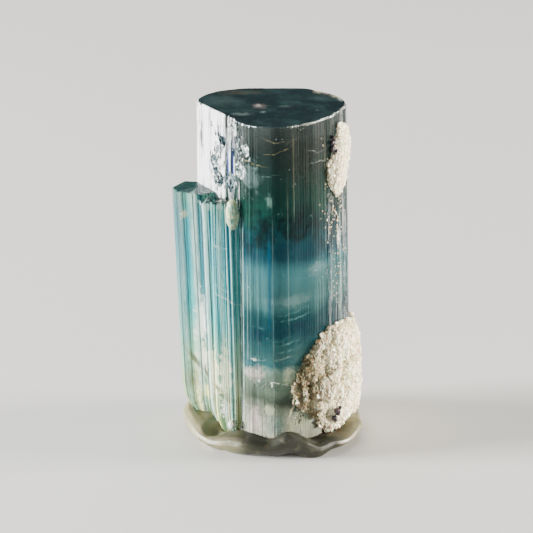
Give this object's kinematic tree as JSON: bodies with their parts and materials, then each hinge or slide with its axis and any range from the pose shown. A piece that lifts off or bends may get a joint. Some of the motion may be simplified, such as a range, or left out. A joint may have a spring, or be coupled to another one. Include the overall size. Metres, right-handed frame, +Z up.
{
  "type": "indicolite tourmaline crystal",
  "caption": "Upright ridged tourmaline prism in bands of blue-green, with a flat top, shorter side crystals and crusts of white albite, stood in a low pad of putty for display.",
  "frame": {"origin": "on the surface that the pad stands on, under the axis of the main crystal's flat top", "axes": "+Z up along the main crystal's axis, -Y towards the front, +X towards the side with the white crusts"},
  "size_m": [0.0195, 0.0174, 0.035],
  "materials": {
    "tourmaline": "clear to translucent, banded blue-green, glossy with lengthwise ridges",
    "albite": "sugary cream-white grains, matt with small bright facets",
    "dark_mineral": "black, part gloss",
    "putty": "smooth warm grey-cream putty, satin"
  },
  "bodies": {
    "root": {"tourmaline_crystal": "tourmaline", "lower_albite_crust": "albite", "upper_albite_crust": "albite", "lower_dark_grains": "dark_mineral", "upper_dark_grains": "dark_mineral", "putty_pad": "putty"}
  },
  "joints": []
}
